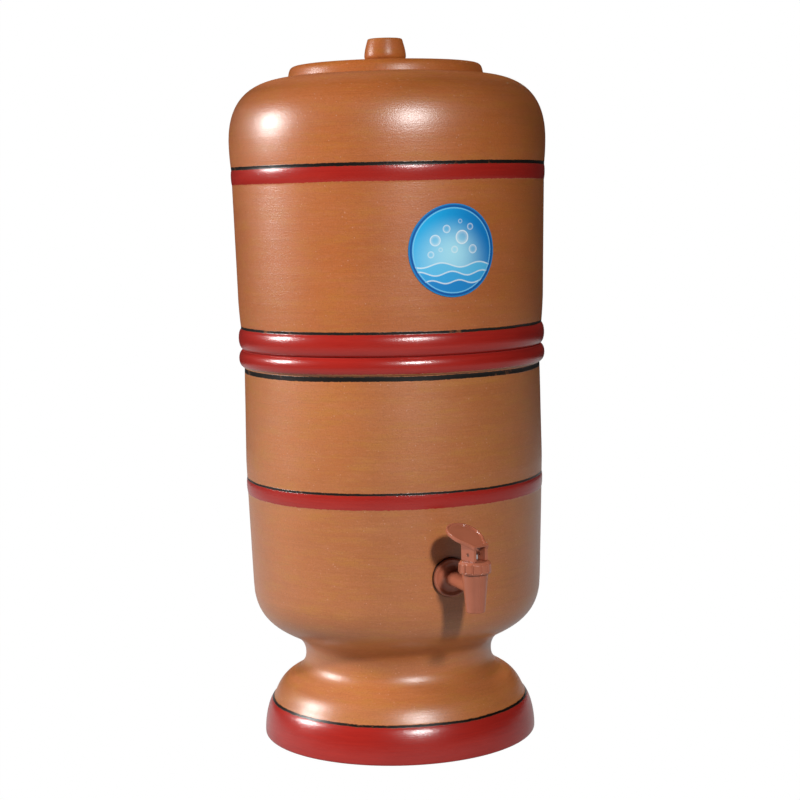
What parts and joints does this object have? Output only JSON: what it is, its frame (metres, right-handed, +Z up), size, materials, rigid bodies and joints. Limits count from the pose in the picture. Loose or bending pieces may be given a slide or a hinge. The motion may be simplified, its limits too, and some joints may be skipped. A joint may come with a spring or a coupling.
{
  "type": "clay water filter pot with tap",
  "caption": "Stacked terracotta filter pot on a waisted foot, with a lift-off lid, an inner ceramic candle with a float valve, and a lever tap low on its side.",
  "frame": {"origin": "on the pot's axis, in the plane that the foot stands on", "axes": "+Z up along the pot's axis; the tap points along -Y, so +X is to the right of someone who faces the tap"},
  "size_m": [0.24, 0.2883, 0.5315],
  "materials": {
    "clay": "smooth unglazed terracotta with a soft wax sheen, painted with glossy brick-red bands between black lines",
    "sticker": "glossy printed film in blues and white",
    "candle_ceramic": "matt white porous ceramic",
    "carbon": "black granules, as one solid",
    "white_plastic": "moulded, satin",
    "float_plastic": "moulded, satin",
    "brown_plastic": "moulded pinkish brown, satin gloss",
    "black_rubber": "matt",
    "silicone": "translucent white silicone",
    "steel": "drawn wire",
    "chrome_metal": "polished"
  },
  "bodies": {
    "pot": {"lower_foot": "clay", "lower_bowl": "clay", "lower_wall": "clay", "tap_body": "brown_plastic", "tap_outer_washer": "black_rubber", "tap_inner_washer": "black_rubber", "tap_lock_nut": "brown_plastic", "tap_collar": "brown_plastic", "tap_spring": "steel"},
    "top": {"upper_floor": "clay", "upper_wall": "clay", "upper_shoulder": "clay", "sticker": "sticker", "candle_dome": "candle_ceramic", "candle_carbon": "carbon", "candle_base": "white_plastic", "candle_gasket": "black_rubber", "candle_washer": "black_rubber", "candle_wing_nut": "white_plastic", "float_cage": "white_plastic"},
    "lid": {"lid": "clay"},
    "float": {"float_shell": "float_plastic", "float_seal": "black_rubber"},
    "valve": {"tap_seat_cup": "silicone"},
    "stem": {"tap_stem": "chrome_metal", "tap_lever_pin": "steel"},
    "lever": {"tap_lever": "brown_plastic"}
  },
  "joints": [
    {"name": "upper_lift", "type": "slide", "parent": "pot", "child": "top", "axis": [0, 0, 1], "range_m": [0, 0.1]},
    {"name": "lid_lift", "type": "slide", "parent": "top", "child": "lid", "axis": [0, 0, 1], "range_m": [0, 0.04]},
    {"name": "float_rise", "type": "slide", "parent": "top", "child": "float", "axis": [0, 0, 1], "range_m": [0, 0.005]},
    {"name": "valve_lift", "type": "slide", "parent": "pot", "child": "valve", "axis": [0, 0, 1], "range_m": [0, 0.00209], "stiffness_N_per_m": 250, "springref_m": -0.002, "deforming": ["tap_spring"]},
    {"name": "lever_swivel", "type": "hinge", "parent": "valve", "child": "stem", "pos_m": [0, -0.1567, 0.15], "axis": [0, 0, 1], "continuous": true},
    {"name": "lever_press", "type": "hinge", "parent": "stem", "child": "lever", "pos_m": [0, -0.1567, 0.1641], "axis": [-0.9397, -0.342, 0], "range_deg": [0, 30]}
  ],
  "couplings": [
    {"joint": "lever_press", "follows": "valve_lift", "rad_per_m": 250}
  ]
}
